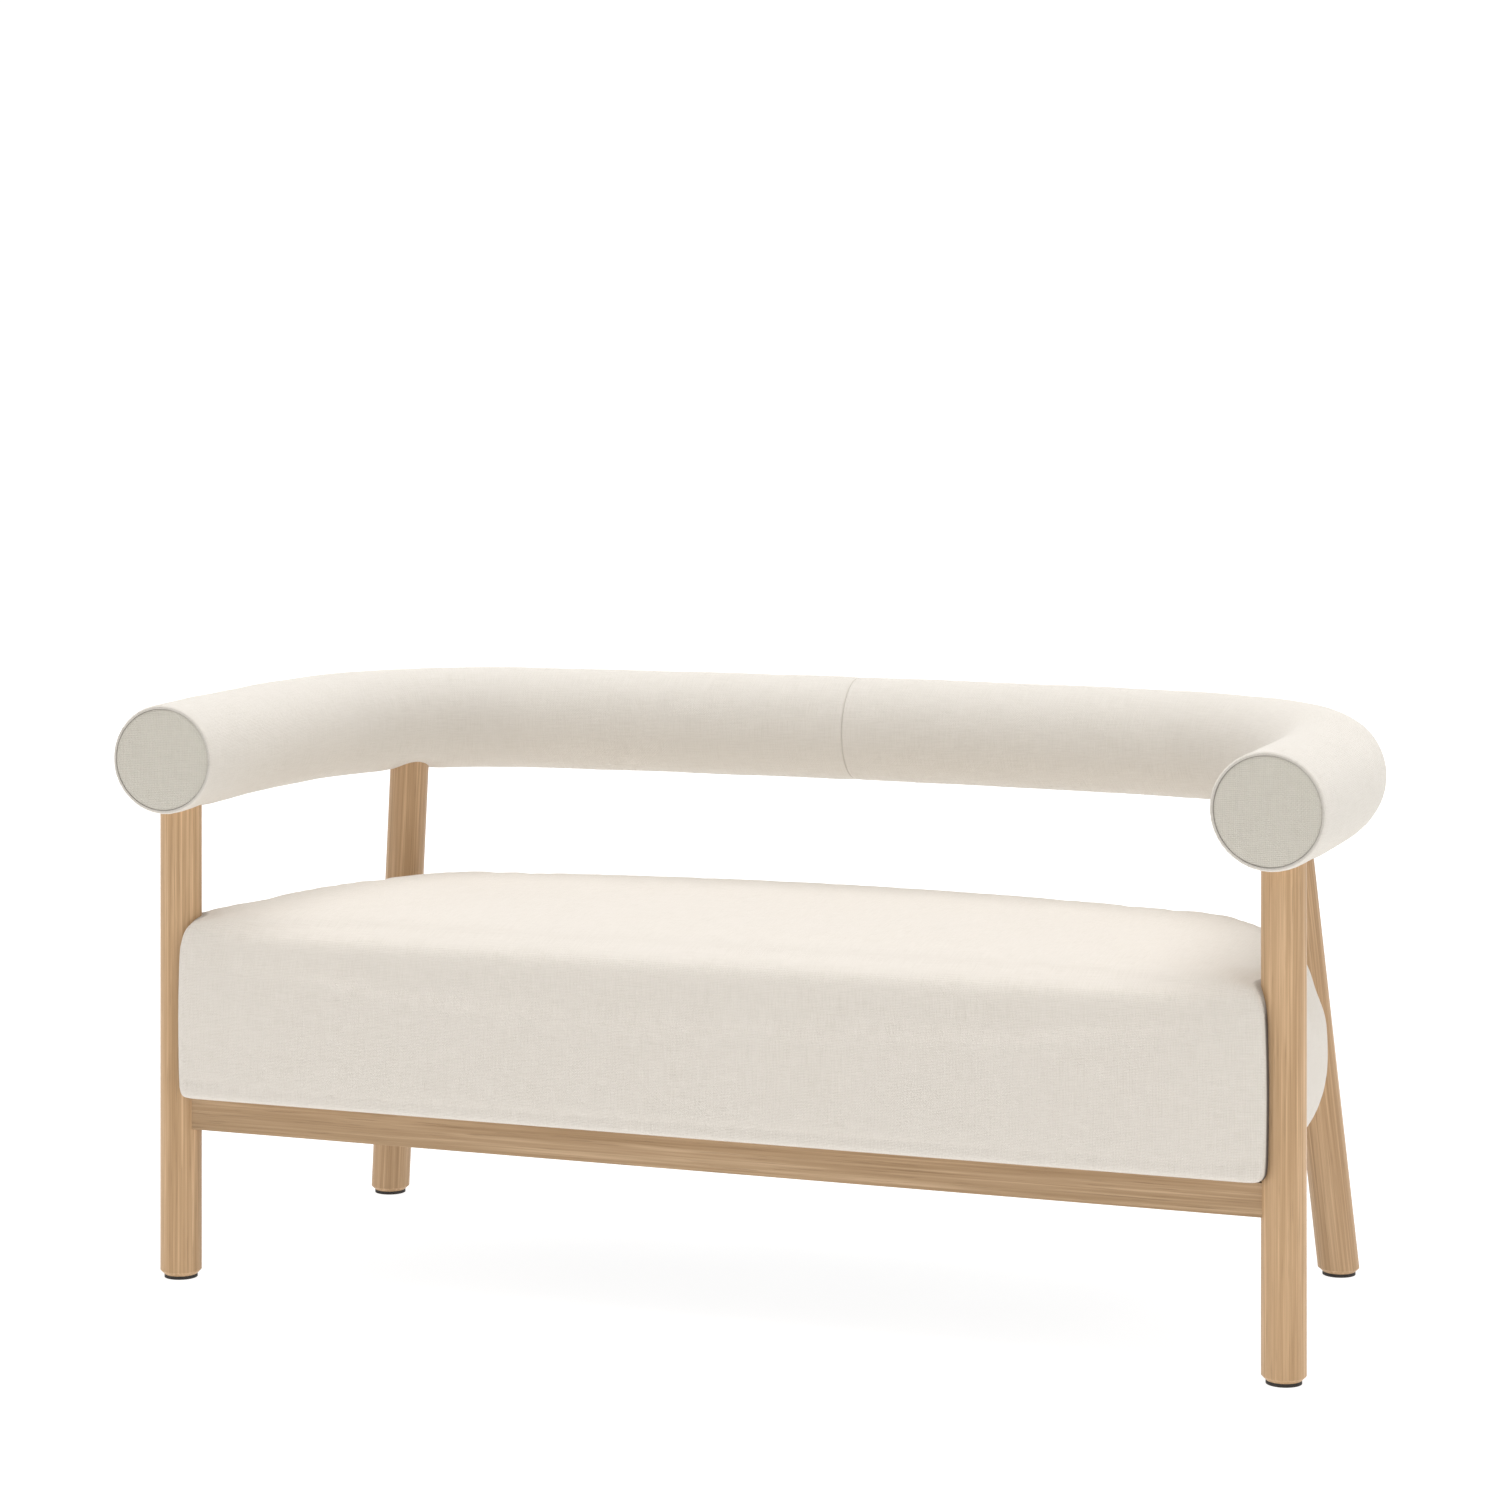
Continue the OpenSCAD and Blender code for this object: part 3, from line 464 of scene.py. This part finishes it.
# the cover is drawn in at the middle seam and round the legs, and puckers a little at the end seams
radius -= 0.0012 * np.exp(-(stations / 0.0011) ** 2)[:, None]
radius -= 0.0008 * np.exp(-np.abs(stations) / 0.006)[:, None]
puckers = 0.5 + 0.5 * np.sin(theta * 41 + 1.3 * np.sin(theta * 5))
radius -= 0.00045 * (np.exp(-((from_end - 0.006) / 0.006) ** 2))[:, None] * puckers
low_side = smooth_step(-np.sin(theta), 0.3, 0.9)
plan = probe[:, :2].reshape(len(stations), AROUND, 2)
for x, y in leg_places:
    away = np.hypot(plan[..., 0] - x, plan[..., 1] - y)
    radius -= 0.0016 * np.exp(-((away - 0.025) / 0.010) ** 2) * low_side
# shallow creases on the inner side of the corners
inner = smooth_step(-np.cos(theta), 0.45, 1.0)
CORNER_MIDDLE = 0.600
in_corner = np.exp(-((np.abs(stations) - CORNER_MIDDLE) / 0.10) ** 2)
creases = np.sin(stations * 2 * pi / 0.031 + 2 * np.sin(stations * 23))
radius += 0.00042 * (in_corner * creases)[:, None] * inner

grid[..., :2] = base + outward[:, None] * (radius * np.cos(theta))[..., None]
grid[..., 2] = AXIS_Z + radius * np.sin(theta)


def end_rings(sign, profile):
    """Rings about an arm end's axis, from (radius, distance outwards) pairs."""
    c = half_line[-1] * (sign, 1)
    h = half_heading[-1]
    out = np.array([sin(h) * sign, cos(h)])
    along = np.array([cos(h) * sign, -sin(h)])
    rings = []
    for r, d in profile:
        plan_points = c + along * d + out * (r * np.cos(theta))[:, None]
        rings.append(np.column_stack([plan_points, AXIS_Z + r * np.sin(theta)]))
    return np.array(rings)


TUCK = ((0.0605, -0.0008), (0.0600, -0.0030), (0.0585, -0.0045), (0.030, -0.0045))
left_in = end_rings(-1, TUCK)
right_in = end_rings(1, TUCK)
rows = np.concatenate([left_in[::-1], grid, right_in])
count = len(rows)
points = rows.reshape(-1, 3)
faces = wrapped(count, AROUND)
points = np.concatenate([points, [rows[0].mean(0), rows[-1].mean(0)]])
first, last = len(points) - 2, len(points) - 1
faces += [(first, (j + 1) % AROUND, j) for j in range(AROUND)]
faces += [(last, (count - 1) * AROUND + j, (count - 1) * AROUND + (j + 1) % AROUND) for j in range(AROUND)]
faces = [f[::-1] for f in faces]
bolster = new_piece("bolster", points, faces, cream)
# painted shade: the middle seam and the end seams are darkened a little, the tucked-in rings under the caps
# and the closing centres more
groove_shade = np.zeros(len(points))
row_groove_shade = np.concatenate([
    [0.8] * len(TUCK), 0.24 * np.exp(-(stations / 0.0008) ** 2) + 0.25 * np.exp(-(from_end / 0.0009) ** 2),
    [0.8] * len(TUCK),
])
groove_shade[:-2] = np.repeat(row_groove_shade, AROUND)
groove_shade[-2:] = 0.8
set_attribute(bolster, "groove_shade", np.clip(groove_shade, 0, 1))
row_u = np.concatenate([[stations[0] - 0.01] * len(TUCK), stations, [stations[-1] + 0.01] * len(TUCK)])
layer = bolster.data.uv_layers.new(name="weave")
uv = np.zeros((len(bolster.data.loops), 2), np.float32)
corner = 0
for face in bolster.data.polygons:
    vertices = list(face.vertices)
    around = [v % AROUND if v < first else 0 for v in vertices]
    wrap = max(around) - min(around) > AROUND / 2
    for v, j in zip(vertices, around):
        turned = j + AROUND if wrap and j < AROUND / 2 else j
        row = v // AROUND if v < first else (0 if v == first else count - 1)
        uv[corner] = (row_u[row], turned * 2 * pi * BOLSTER_R / AROUND)
        corner += 1
layer.data.foreach_set("uv", uv.ravel())
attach(bolster, "root")
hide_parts("bolster_cover_left", "bolster_cover_right", "foam_back", "foam_corner_left",
            "foam_corner_right", "foam_arm_left", "foam_arm_right")

# the sewn-in discs that close the arm ends
CAP_R = 0.0608
CAP_RISE = 0.0043
cap_radii = CAP_R * np.sin(np.linspace(0, 1, 26)[1:] * pi / 2)
for sign, side in ((-1, "left"), (1, "right")):
    dome = [(r, CAP_RISE * (1 - (r / CAP_R) ** 2.6) ** 0.75 - 0.0012) for r in cap_radii]
    dome += [(CAP_R + 0.0004, -0.0028), (CAP_R - 0.0030, -0.0046)]
    rings = end_rings(sign, dome)
    shape = rings.reshape(-1, 3)
    along = np.array([cos(half_heading[-1]) * sign, -sin(half_heading[-1]), 0])
    lift = 0.00030 * ripples(shape, 0.05, 21 + sign)
    shape = shape + np.outer(lift, along)
    top = end_rings(sign, [(0.0, CAP_RISE - 0.0012)])[0][:1]
    back = end_rings(sign, [(0.0, -0.0046)])[0][:1]
    cap_points = np.concatenate([shape, top, back])
    n_rings = len(rings)
    cap_faces = wrapped(n_rings, AROUND)
    top_i, back_i = n_rings * AROUND, n_rings * AROUND + 1
    cap_faces += [(top_i, (j + 1) % AROUND, j) for j in range(AROUND)]
    cap_faces += [(back_i, (n_rings - 1) * AROUND + j, (n_rings - 1) * AROUND + (j + 1) % AROUND)
                  for j in range(AROUND)]
    if sign < 0:
        cap_faces = [f[::-1] for f in cap_faces]
    cap = new_piece("end_cap_" + side, cap_points, cap_faces, cream_cap)
    # painted shade in the seam groove round the rim of each cap
    radial = np.concatenate([np.repeat([r for r, _ in dome], AROUND), [0, 0]])
    set_attribute(cap, "groove_shade", 0.42 * smooth_step(radial, CAP_R - 0.0009, CAP_R + 0.0001))
    set_box_uv(cap)
    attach(cap, "root")
    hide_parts("end_panel_" + side, "end_pad_" + side)


# ---------------------------------------------------------------- seat
SEAT_ARCS = ((1.950, 13.9), (0.220, 39.6), (0.513, 51.0))
SEAT_BACK_Y = 0.290
FRONT_Y = -0.319
FRONT_X = 0.6665
FRONT_R = 0.009
LEG = np.array(FRONT_LEG)
SEAT_LOW = 0.221

OUTLINE_STEP = 0.012
side_line, side_heading = chain(SEAT_BACK_Y, SEAT_ARCS, OUTLINE_STEP)
keep = side_line[:, 1] > LEG[1] + 0.014
side_line, side_heading = side_line[keep], side_heading[keep]
corner_centre = np.array([FRONT_X - FRONT_R, FRONT_Y + FRONT_R])
corner_heading = radians(90) + radians(90) * np.linspace(0, 1, 9)
front_x = np.linspace(corner_centre[0], 0, 54)[1:]
half_plan = np.concatenate([
    side_line, [[FRONT_X + 0.0005, -0.2960]], corner_centre + FRONT_R * turn(corner_heading),
    np.column_stack([front_x, np.full(len(front_x), FRONT_Y)]),
])
half_turns = np.concatenate([side_heading, [radians(92)], corner_heading, np.full(len(front_x), pi)])
# 0 along the front and its corners, 1 along the sides and the back
side_soft = 1 - smooth_step(-side_line[:, 1], 0.150, 0.245)
half_soft = np.concatenate([side_soft, np.zeros(len(half_plan) - len(side_line))])
outline = np.concatenate([half_plan, half_plan[-2:0:-1] * (-1, 1)])
outline_turn = turn(np.concatenate([half_turns, -half_turns[-2:0:-1]]))
half_zone = np.repeat([0, 1, 2, 3], [len(side_line), 1, len(corner_heading), len(front_x)])
zone = np.concatenate([half_zone, half_zone[-2:0:-1]])
soft = np.concatenate([half_soft, half_soft[-2:0:-1]])

# (inset, height above the underside) from the flat underside over the side to the top
FRONT_PROFILE = np.array([
    (0.040, 0.0002), (0.024, 0.0002), (0.0135, 0.0008), (0.0065, 0.0032), (0.0022, 0.0075), (0.0004, 0.0140),
    (-0.0006, 0.0320), (-0.0012, 0.0620), (-0.0016, 0.0970), (-0.0012, 0.1320), (-0.0004, 0.1620),
    (0.0006, 0.1790), (0.0030, 0.1910), (0.0078, 0.2015), (0.0155, 0.2095), (0.0255, 0.2145),
    (0.0380, 0.2172),
])
SIDE_PROFILE = np.array([
    (0.062, 0.0002), (0.048, 0.0020), (0.036, 0.0078), (0.0240, 0.0170), (0.0140, 0.0290), (0.0068, 0.0430),
    (0.0022, 0.0600), (0.0002, 0.0780), (0.0002, 0.1020), (0.0016, 0.1300), (0.0048, 0.1560),
    (0.0082, 0.1760), (0.0118, 0.1900), (0.0172, 0.2020), (0.0250, 0.2110), (0.0350, 0.2165),
    (0.0470, 0.2195),
])
profile = FRONT_PROFILE[None] * (1 - soft)[:, None, None] + SIDE_PROFILE[None] * soft[:, None, None]
# the top edge is tighter at the front corners
tight = smooth_step(np.abs(outline[:, 0]), 0.600, 0.655) * (1 - soft)
profile[:, :, 0] *= 1 - 0.42 * tight[:, None] * smooth_step(profile[:, :, 1], 0.150, 0.185)


def drawn_in(inset):
    """The outline moved in at each point; past a corner's radius the corner's centre moves in too."""
    shift = np.maximum(inset - (FRONT_R - 0.0015), 0)
    place = outline - outline_turn * np.where(zone == 2, inset - shift, inset)[:, None]
    place[:, 0] -= np.where(zone == 2, np.sign(outline[:, 0]) * shift, 0)
    place[:, 1] += np.where(zone == 2, shift, 0)
    place[:, 0] *= np.where(zone == 3, 1 - shift / corner_centre[0], 1)
    place[:, 1] = np.where(zone == 1, np.maximum(place[:, 1], corner_centre[1] + shift + 0.004), place[:, 1])
    return place


rings = np.zeros((profile.shape[1], len(outline), 3))
for level in range(profile.shape[1]):
    rings[level, :, :2] = drawn_in(profile[:, level, 0])
    rings[level, :, 2] = SEAT_LOW + profile[:, level, 1]
SPINE = 0.30
SPINE_Y = -0.01
CROWN = 0.0085
TOP_LEVEL = SEAT_LOW + 0.2185


def lids(ring, shrink, rise):
    """Rings that close a lid towards the seat's long middle line."""
    made = []
    for share in shrink:
        middle = np.column_stack([np.clip(ring[:, 0], -SPINE, SPINE) * 0.9, np.full(len(ring), SPINE_Y)])
        lid = ring.copy()
        lid[:, :2] = middle + (ring[:, :2] - middle) * share
        if rise:
            lid[:, 2] = ring[:, 2] * share ** 4 + TOP_LEVEL * (1 - share ** 4) + rise * (1 - share ** 2)
        made.append(lid)
    return made


top_lids = lids(rings[-1], (0.90, 0.78, 0.62, 0.44, 0.25, 0.08), CROWN)
low_lids = lids(rings[0], (0.85, 0.6, 0.3, 0.06), 0)
stack = np.array(low_lids[::-1] + list(rings) + top_lids)
n_out = len(outline)
seat_points = stack.reshape(-1, 3)
seat_faces = [(a, d, c, b) for a, b, c, d in wrapped(len(stack), n_out)]
seat_faces.append(tuple(range(n_out)))
seat_faces.append(tuple(range((len(stack) - 1) * n_out, len(stack) * n_out))[::-1])
seat = new_piece("seat_cushion", seat_points, seat_faces, cream_seat)

# the notches that the front legs stand in
ROUND = 48
cutters = []
for sign in (-1, 1):
    circle = turn(np.linspace(0, 2 * pi, ROUND + 1)[:-1])
    levels = ((0.0300, 0.1), (0.0300, 0.395), (0.0262, 0.418), (0.0262, 0.6))
    place = LEG * (sign, 1)
    cut = np.concatenate([np.column_stack([r * circle + place, np.full(ROUND, z)]) for r, z in levels])
    cutter_faces = wrapped(len(levels), ROUND)
    cutter_faces += [tuple(range(ROUND))[::-1], tuple(range(len(cut) - ROUND, len(cut)))]
    cutter = new_piece(f"cutter_{sign + 1}", cut, cutter_faces, cream)
    cutter.hide_render = True
    cutters.append(cutter)
    boolean = seat.modifiers.new("notch", "BOOLEAN")
    boolean.operation = "DIFFERENCE"
    boolean.solver = "EXACT"
    boolean.object = cutter
    boolean.use_self = True
VOXEL = 0.0055
remesh = seat.modifiers.new("remesh", "REMESH")
remesh.mode = "VOXEL"
remesh.voxel_size = VOXEL
remesh.use_smooth_shade = True
baked(seat)
for cutter in cutters:
    bpy.data.objects.remove(cutter)
relax = seat.modifiers.new("relax", "SMOOTH")
relax.factor = 0.5
relax.iterations = 1
baked(seat)
co = coordinates_of(seat.data)
normals = np.zeros(len(co) * 3)
seat.data.vertices.foreach_get("normal", normals)
from_leg = np.hypot(np.abs(co[:, 0]) - LEG[0], co[:, 1] - LEG[1])
held = np.maximum(1 - smooth_step(co[:, 2], SEAT_LOW + 0.002, SEAT_LOW + 0.030),
                  1 - smooth_step(from_leg, 0.030, 0.046))
SWELL = 0.0045
drawn = co - normals.reshape(-1, 3) * (SWELL * (1 - held))[:, None]
seat.data.vertices.foreach_set("co", drawn.ravel())
seat.data.update()
inflate(seat, held, 1.25 * SWELL, 4.0, slack=0.004)
divide = seat.modifiers.new("divide", "SUBSURF")
divide.levels = divide.render_levels = 1
baked(seat)
# the rim stands a little higher just behind each front leg
co = coordinates_of(seat.data)
beside_leg = np.hypot(np.abs(co[:, 0]) - 0.655, co[:, 1] + 0.215)
near_top = smooth_step(co[:, 2], SEAT_LOW + 0.15, SEAT_LOW + 0.20)
co[:, 2] += 0.0042 * np.exp(-(beside_leg / 0.040) ** 2) * near_top
seat.data.vertices.foreach_set("co", co.ravel())
from_leg = np.hypot(np.abs(co[:, 0]) - LEG[0], co[:, 1] - LEG[1])
# painted shade on the inside walls of the front-leg notches, lighter towards their top
notch_shade = (1 - smooth_step(from_leg, 0.0305, 0.0335)) * (1 - 0.6 * smooth_step(co[:, 2], 0.400, 0.425))
set_attribute(seat, "groove_shade", notch_shade)
set_box_uv(seat)
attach(seat, "root")
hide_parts("seat_cover", "seat_wadding", "seat_foam")

# ---------------------------------------------------------------- cloth under the seat
CLOTH_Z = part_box("dust_cover")[0].z
CLOTH_T = 0.0008
HEM_SIDE, HEM_FRONT, SAG = 0.074, 0.036, 0.006
hem = drawn_in(HEM_FRONT + (HEM_SIDE - HEM_FRONT) * soft)


def inside(points, polygon):
    """Whether each point lies within a closed polygon."""
    x, y = points[:, :1], points[:, 1:]
    x0, y0 = polygon.T
    x1, y1 = np.roll(polygon, -1, 0).T
    rise = np.where(y1 == y0, 1, y1 - y0)
    return (((y0 > y) != (y1 > y)) & (x < (x1 - x0) * (y - y0) / rise + x0)).sum(1) % 2 == 1


def gap_to_hem(points):
    return np.array([np.hypot(*(hem - point).T).min() for point in points])


MESH_STEP = 0.014
across, along = np.arange(-0.672, 0.68, MESH_STEP), np.arange(-0.294, 0.26, MESH_STEP)
inner = np.stack(np.meshgrid(across, along), -1).reshape(-1, 2)
inner = inner[inside(inner, hem)]
inner = inner[gap_to_hem(inner) > 0.5 * MESH_STEP]
loose = [Vector(point) for point in np.concatenate([hem, inner])]
laid = delaunay_2d_cdt(loose, [], [list(range(len(hem)))], 1, 1e-6)
plan = np.array([tuple(point) for point in laid[0]])
from_hem = gap_to_hem(plan)
free = smooth_step(from_hem, 0.0, 0.20) * smooth_step(plan[:, 1], -0.262, -0.190)
crease = 0.0004 * np.sin(plan[:, 0] * 55 + 3 * np.sin(plan[:, 1] * 21)) * free
cloth_points = np.column_stack([plan, CLOTH_Z + 0.0001 - SAG * free + crease])
cloth_faces = [face[::-1] for face in laid[2]]
under_cloth = new_piece("under_cloth", cloth_points, cloth_faces, black_cloth)
thicken = under_cloth.modifiers.new("thicken", "SOLIDIFY")
thicken.thickness = CLOTH_T
thicken.offset = -1
baked(under_cloth)
set_attribute(under_cloth, "groove_shade", np.zeros(len(under_cloth.data.vertices)))
set_box_uv(under_cloth)
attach(under_cloth, "root")
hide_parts("dust_cover")

# ---------------------------------------------------------------- stage, light and camera
scene = bpy.context.scene
pale = glowing("pale_floor", (0.30, 0.30, 0.298), (0.31, 0.31, 0.308), 0.88)
FLOOR = 30
floor_points = [(-FLOOR, -FLOOR, 0), (FLOOR, -FLOOR, 0), (FLOOR, FLOOR, 0), (-FLOOR, FLOOR, 0)]
floor = new_piece("floor", floor_points, [(0, 1, 2, 3)], pale)

# a white wall all round, seen by the camera only
WALL_R = 29.0
WALL_SIDES = 96
wall_ring = WALL_R * turn(2 * pi * np.arange(WALL_SIDES) / WALL_SIDES)[::-1]
white = glowing("white_wall", (0.02, 0.02, 0.02), (0.03, 0.03, 0.03), 1.02)
wall_points = [(x, y, z) for z in (-20, 40) for x, y in wall_ring]
wall = new_piece("wall", wall_points, [(b, a, d, c) for a, b, c, d in wrapped(2, WALL_SIDES)], white)
wall.visible_diffuse = wall.visible_glossy = wall.visible_transmission = wall.visible_shadow = False

# soft light from above and behind, dimmer and warmer from the front, dimmer from the right
world = bpy.data.worlds.new("studio")
world.use_nodes = True
sky = world.node_tree
direction = sky.nodes.new("ShaderNodeSeparateXYZ")
sky.links.new(sky.nodes.new("ShaderNodeTexCoord").outputs["Generated"], direction.inputs[0])
strength = sky.nodes.new("ShaderNodeMath")
strength.operation = "MULTIPLY"
FADES = (-1.0, 0.3, 0.52, 0.86), (0.0, 1.0, 1.0, 0.88)
for socket, side, settings in zip(strength.inputs, "YX", FADES):
    fade = sky.nodes.new("ShaderNodeMapRange")
    sky.links.new(direction.outputs[side], fade.inputs["Value"])
    for name, value in zip(MAP_RANGE_LIMITS, settings):
        fade.inputs[name].default_value = value
    sky.links.new(fade.outputs["Result"], socket)
sky.links.new(strength.outputs["Value"], sky.nodes["Background"].inputs["Strength"])
tint = sky.nodes.new("ShaderNodeValToRGB")
sky.links.new(direction.outputs["Y"], tint.inputs["Fac"])
tint.color_ramp.elements[0].color = (1.0, 0.982, 0.960, 1)
tint.color_ramp.elements[1].color = (0.985, 0.990, 1.0, 1)
tint.color_ramp.elements[1].position = 0.3
sky.links.new(tint.outputs["Color"], sky.nodes["Background"].inputs["Color"])
scene.world = world

sun = bpy.data.lights.new("key", "SUN")
sun.energy = 1.92
sun.color = (0.975, 0.980, 1.0)
sun.angle = radians(60)
sun_object = bpy.data.objects.new("key", sun)
sun_object.rotation_euler = (radians(-4), radians(1), 0)
scene.collection.objects.link(sun_object)
scene.view_settings.view_transform = "Standard"
scene.view_settings.look = "None"

camera = bpy.data.cameras.new("camera")
camera.sensor_width = 36
camera.lens = 96.308
camera.shift_y = -0.3152
camera.clip_end = 100
camera_object = bpy.data.objects.new("camera", camera)
camera_object.location = (1.6559, -4.6061, 1.2120)
camera_object.rotation_euler = (radians(90), 0, radians(20.282))
scene.collection.objects.link(camera_object)
scene.camera = camera_object
